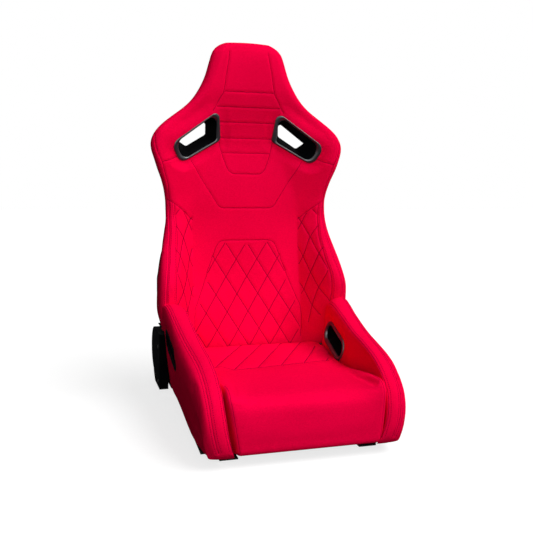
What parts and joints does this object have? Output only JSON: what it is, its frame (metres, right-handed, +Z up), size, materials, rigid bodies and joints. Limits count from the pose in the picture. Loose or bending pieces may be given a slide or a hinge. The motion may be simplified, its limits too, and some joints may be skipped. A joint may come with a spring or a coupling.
{
  "type": "racing seat",
  "caption": "Reclining fabric racing seat with shoulder harness openings, deep side bolsters, lap belt slots, a hand knob and a covered gear recliner.",
  "frame": {"origin": "centre of the four base bolt holes, on the plane the seat stands on", "axes": "+Z up, -Y the way the seat faces, +X the occupant's left"},
  "size_m": [0.575, 0.643, 0.997],
  "materials": {
    "red_fabric": "woven",
    "black_cover": "matt",
    "black_gloss": "gloss",
    "frame_black": "satin",
    "bright_steel": "satin",
    "bush_metal": "satin"
  },
  "bodies": {
    "seat_base": {"mount_nuts": "bright_steel", "seat_pan": "frame_black", "front_cross_tube": "frame_black", "rear_cross_tube": "frame_black", "pivot_nuts": "bright_steel", "stop_pins": "bright_steel", "cover_screws": "bright_steel", "cushion_foam": "red_fabric", "side_member_left": "frame_black", "bolster_tray_left": "frame_black", "recliner_plate_left": "frame_black", "recliner_brace_left": "frame_black", "pivot_bolt_left": "bright_steel", "recliner_cover_left": "black_cover", "shaft_bush_left": "bush_metal", "thigh_bolster_left": "red_fabric", "belt_bezel_inner_left": "black_gloss", "belt_bezel_outer_left": "black_gloss", "side_member_right": "frame_black", "bolster_tray_right": "frame_black", "recliner_plate_right": "frame_black", "recliner_brace_right": "frame_black", "pivot_bolt_right": "bright_steel", "recliner_cover_right": "black_cover", "shaft_bush_right": "bush_metal", "thigh_bolster_right": "red_fabric", "belt_bezel_inner_right": "black_gloss", "belt_bezel_outer_right": "black_gloss"},
    "drive_shaft": {"drive_shaft": "bright_steel", "shaft_clips": "bright_steel", "recline_knob": "black_cover", "knob_cap": "black_gloss", "pinion_left": "bright_steel", "pinion_right": "bright_steel"},
    "backrest": {"lumbar_foam": "red_fabric", "shoulder_foam": "red_fabric", "head_foam": "red_fabric", "head_hoop": "frame_black", "back_cross_tubes": "frame_black", "back_suspension": "bright_steel", "arm_bolts": "bright_steel", "back_shell": "black_cover", "shell_tabs": "frame_black", "shell_screws": "bright_steel", "back_bolster_left": "red_fabric", "harness_bezel_left": "black_gloss", "harness_rear_bezel_left": "black_gloss", "back_tube_left": "frame_black", "shoulder_tube_left": "frame_black", "recliner_arm_left": "frame_black", "pivot_bush_left": "bush_metal", "back_bolster_right": "red_fabric", "harness_bezel_right": "black_gloss", "harness_rear_bezel_right": "black_gloss", "back_tube_right": "frame_black", "shoulder_tube_right": "frame_black", "recliner_arm_right": "frame_black", "pivot_bush_right": "bush_metal"}
  },
  "joints": [
    {"name": "recline", "type": "hinge", "parent": "seat_base", "child": "backrest", "pos_m": [0, 0.25, 0.14], "axis": [-1, 0, 0], "range_deg": [0, 60]},
    {"name": "knob_turn", "type": "hinge", "parent": "seat_base", "child": "drive_shaft", "pos_m": [0, 0.25, 0.074], "axis": [-1, 0, 0], "range_deg": [-224, 0]}
  ],
  "couplings": [
    {"joint": "knob_turn", "follows": "recline", "ratio": -3.7143}
  ]
}
